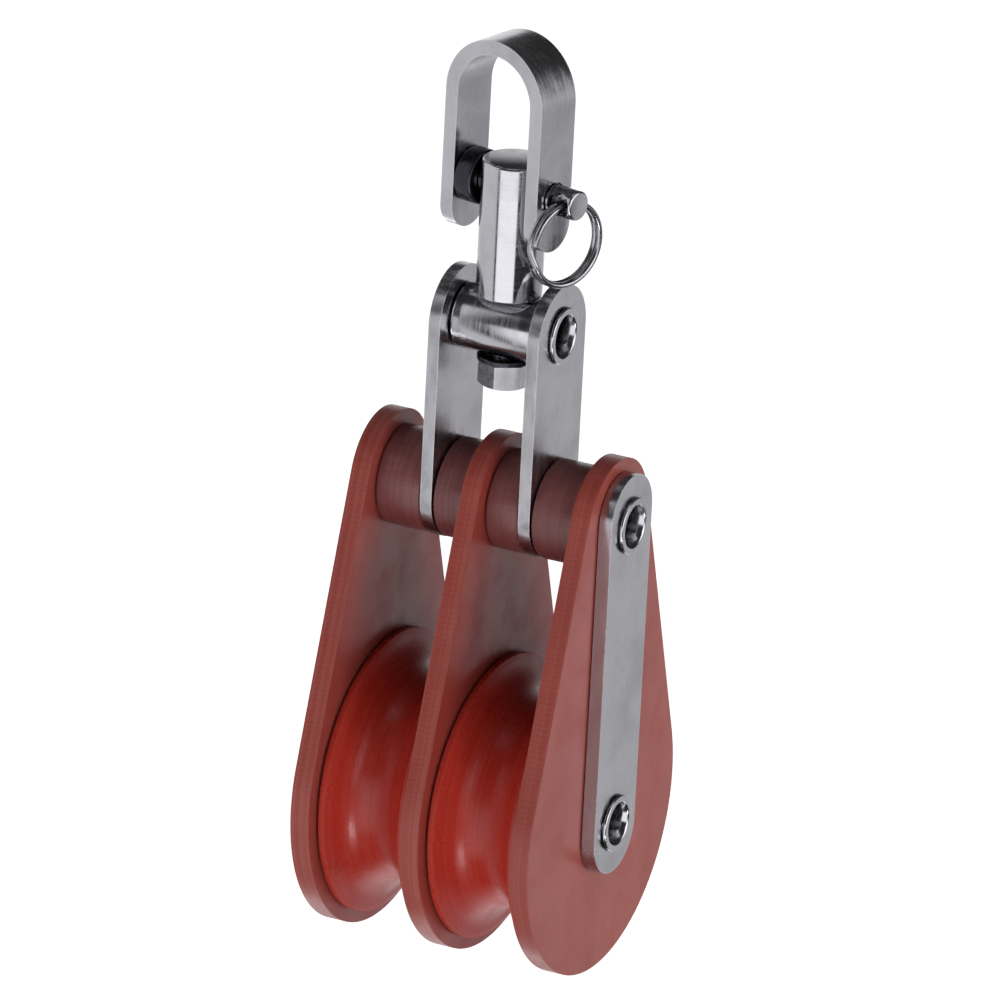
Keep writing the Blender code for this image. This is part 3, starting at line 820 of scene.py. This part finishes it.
# azimuth, elevation, half width, half height, soft edge (degrees) and strength
PANELS = (
    (8.5, -20, 30.5, 24, 4, 1.62),   # key, in front and low
    (58, -40, 5, 5, 4, 14.0),        # small bright lamp at the right, low
    (-84, -8, 50, 50, 6, 0.85),      # broad panel on the left
    (84, 12, 30, 14, 12, 2.40),      # on the right, level
    (150, -24, 20, 14, 14, 0.62),    # right rear, low
    (-158, -10, 20, 24, 8, 1.00),    # left rear and the backdrop
    (-165, -60, 50, 10, 12, 1.20),   # rear, from below
    (180, 80, 180, 4, 6, 0.80),      # overhead
)
SURROUND = 0.035               # everywhere else
SEEN_BEHIND = 1.05             # what the camera itself sees behind the block
FLOOR_DROP = 30 * MM
FLOOR_GLOW = 0.78


def panel_mask(sh, azimuth, elevation, panel):
    """1 inside a panel and 0 outside it, with a soft edge between."""
    middle_azimuth, middle_elevation, half_width, half_height, soft, _ = (math.radians(v) for v in panel)
    wrap = sh.node("ShaderNodeMath", operation="WRAP")
    sh.link(sh.math("SUBTRACT", azimuth, middle_azimuth), wrap.inputs[0])
    wrap.inputs[1].default_value = math.pi
    wrap.inputs[2].default_value = -math.pi
    sideways = sh.math("ABSOLUTE", wrap.outputs[0])
    upwards = sh.math("ABSOLUTE", sh.math("SUBTRACT", elevation, middle_elevation))
    wide = sh.ramp(sideways, half_width, half_width + soft, 1.0, 0.0)
    tall = sh.ramp(upwards, half_height, half_height + soft, 1.0, 0.0)
    return sh.math("MULTIPLY", wide, tall)


def make_studio():
    """Soft panels painted on the world. The camera itself sees a plain pale surround."""
    world = bpy.data.worlds.new("studio")
    world.use_nodes = True
    bpy.context.scene.world = world
    sh = Shader(world.node_tree)
    background = world.node_tree.nodes["Background"]
    axes = sh.node("ShaderNodeSeparateXYZ")
    sh.link(sh.node("ShaderNodeTexCoord").outputs["Generated"], axes.inputs[0])
    azimuth = sh.math("ARCTAN2", axes.outputs["X"], sh.math("MULTIPLY", axes.outputs["Y"], -1.0))
    elevation = sh.math("ARCSINE", axes.outputs["Z"])
    total = SURROUND
    for panel in PANELS:
        mask = panel_mask(sh, azimuth, elevation, panel)
        total = sh.math("ADD", sh.math("MULTIPLY", mask, panel[-1]), total)
    seen = sh.node("ShaderNodeLightPath").outputs["Is Camera Ray"]
    level = sh.node("ShaderNodeMix", data_type="FLOAT")
    sh.link(seen, level.inputs["Factor"])
    sh.link(total, level.inputs["A"])
    level.inputs["B"].default_value = SEEN_BEHIND
    sh.link(level.outputs[0], background.inputs["Strength"])
    background.inputs["Color"].default_value = (0.98, 0.98, 1.0, 1.0)


def make_floor():
    """Plain pale floor, a little under the hanging block. Only the camera sees it."""
    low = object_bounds()[0]
    work = bmesh.new()
    bmesh.ops.create_grid(work, x_segments=1, y_segments=1, size=8.0)
    mesh = bpy.data.meshes.new("floor")
    work.to_mesh(mesh)
    work.free()
    floor = link(bpy.data.objects.new("floor", mesh))
    floor.location = (0, 0, low.z - FLOOR_DROP)
    mat, _, surface = new_material("pale_floor")
    surface.inputs["Base Color"].default_value = (0.9, 0.9, 0.9, 1)
    surface.inputs["Roughness"].default_value = 0.9
    surface.inputs["Emission Color"].default_value = (1, 1, 1, 1)
    surface.inputs["Emission Strength"].default_value = FLOOR_GLOW
    mesh.materials.append(mat)
    floor.visible_glossy = False
    floor.visible_diffuse = False
    floor.visible_shadow = False


CAMERA_AZIMUTH = 26.29
CAMERA_ELEVATION = 21.90
CAMERA_ROLL = math.radians(-3.0)
CAMERA_DISTANCE = 2.1          # from the sheave axle
AIM_RIGHT = 2.96 * MM          # the view's middle, right of and above the axle
AIM_UP = 49.9 * MM
LENS = 441.0


def make_camera():
    back = direction(CAMERA_AZIMUTH, CAMERA_ELEVATION)
    a = math.radians(CAMERA_AZIMUTH)
    level = Vector((math.cos(a), math.sin(a), 0))
    upright = back.cross(level)
    right = level * math.cos(CAMERA_ROLL) - upright * math.sin(CAMERA_ROLL)
    up = level * math.sin(CAMERA_ROLL) + upright * math.cos(CAMERA_ROLL)
    eye = AXLE + back * CAMERA_DISTANCE
    ahead = (AXLE + right * AIM_RIGHT + up * AIM_UP - eye).normalized()
    across = ahead.cross(up).normalized()
    above = across.cross(ahead)
    data = bpy.data.cameras.new("camera")
    data.lens = LENS
    data.sensor_width = 36.0
    data.clip_start = 0.1
    data.clip_end = 50.0
    camera = link(bpy.data.objects.new("camera", data))
    rotation = Matrix((across, above, -ahead)).transposed().to_4x4()
    camera.matrix_world = Matrix.Translation(eye) @ rotation
    bpy.context.scene.camera = camera


make_object(make_materials())
make_studio()
make_floor()
make_camera()
bpy.context.scene.view_settings.view_transform = "Standard"
